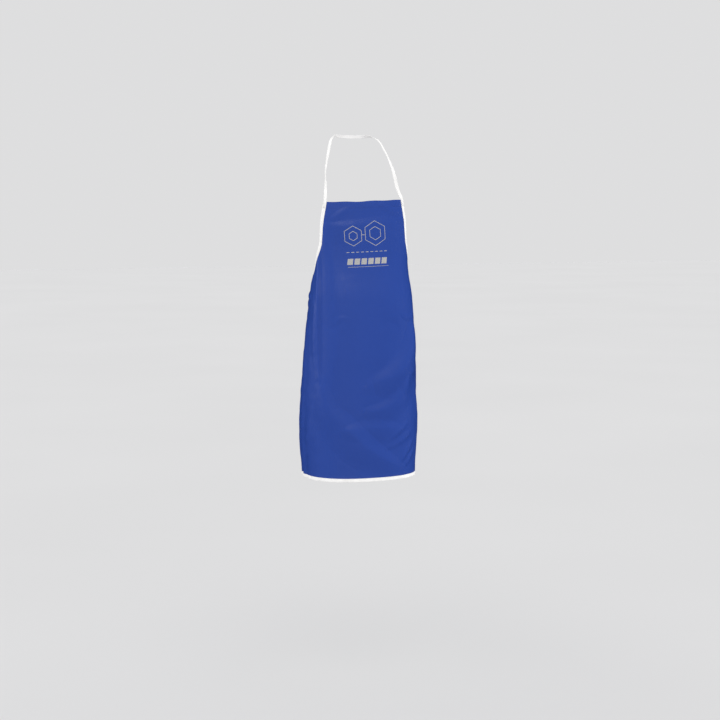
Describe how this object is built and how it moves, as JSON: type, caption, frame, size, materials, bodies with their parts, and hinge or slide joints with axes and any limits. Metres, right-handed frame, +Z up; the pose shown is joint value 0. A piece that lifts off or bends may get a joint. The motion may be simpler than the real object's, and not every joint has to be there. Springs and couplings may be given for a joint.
{
  "type": "bib apron",
  "caption": "Bib apron of thin coated cloth with taped edges, a neck strap and waist ties knotted in a bow at the back, in its worn shape.",
  "frame": {"origin": "inner face of the neck strap at the middle of the nape, where the wearer's neck carries the apron", "axes": "+Z up, -Y the way the wearer faces, +X towards the wearer's left hand"},
  "size_m": [0.364, 0.2486, 1.0438],
  "materials": {
    "cloth": "royal blue coated cloth, smooth, low satin sheen",
    "binding_tape": "white folded woven tape, matte",
    "strap_tape": "white twill tape, matte",
    "thread": "white sewing thread"
  },
  "bodies": {
    "waist": {"waist_panel": "cloth", "waist_binding_left": "binding_tape", "waist_binding_right": "binding_tape", "flank_binding_left": "binding_tape", "flank_binding_right": "binding_tape", "tie_tack_left": "thread", "tie_tack_right": "thread", "waist_tie_left": "strap_tape", "waist_tie_right": "strap_tape", "bow_knot": "strap_tape"},
    "bib": {"bib_panel": "cloth", "bib_top_hem": "cloth", "armhole_binding_left": "binding_tape", "armhole_binding_right": "binding_tape", "strap_tack_left": "thread", "strap_tack_right": "thread"},
    "neck_strap": {"neck_strap": "strap_tape"},
    "skirt": {"skirt_panel": "cloth", "side_binding_left": "binding_tape", "side_binding_right": "binding_tape", "hem_binding": "binding_tape"},
    "bow_loop_left": {"bow_loop_left": "strap_tape"},
    "bow_loop_right": {"bow_loop_right": "strap_tape"},
    "tie_tail_left": {"tie_tail_left": "strap_tape"},
    "tie_tail_right": {"tie_tail_right": "strap_tape"}
  },
  "joints": [
    {"name": "bib_fold", "type": "hinge", "parent": "waist", "child": "bib", "pos_m": [0, -0.1698, -0.40615], "axis": [1, 0, 0], "range_deg": [0, 100]},
    {"name": "neck_strap_lift", "type": "hinge", "parent": "bib", "child": "neck_strap", "pos_m": [0, -0.1193, -0.1953], "axis": [1, 0, 0], "range_deg": [0, 160]},
    {"name": "skirt_lift", "type": "hinge", "parent": "waist", "child": "skirt", "pos_m": [0, -0.2092, -0.65615], "axis": [-1, 0, 0], "range_deg": [0, 60], "stiffness_Nm_per_rad": 0.45, "springref_deg": -28.65},
    {"name": "bow_loop_left_lift", "type": "hinge", "parent": "waist", "child": "bow_loop_left", "pos_m": [0.0095, 0.0165, -0.473], "axis": [0, -1, 0], "range_deg": [0, 40]},
    {"name": "bow_loop_right_lift", "type": "hinge", "parent": "waist", "child": "bow_loop_right", "pos_m": [-0.0095, 0.0165, -0.473], "axis": [0, 1, 0], "range_deg": [0, 40]},
    {"name": "tie_tail_left_swing", "type": "hinge", "parent": "waist", "child": "tie_tail_left", "pos_m": [0.0075, 0.0151, -0.4868], "axis": [1, 0, 0], "range_deg": [0, 70]},
    {"name": "tie_tail_right_swing", "type": "hinge", "parent": "waist", "child": "tie_tail_right", "pos_m": [-0.0075, 0.0151, -0.4868], "axis": [1, 0, 0], "range_deg": [0, 70]}
  ]
}
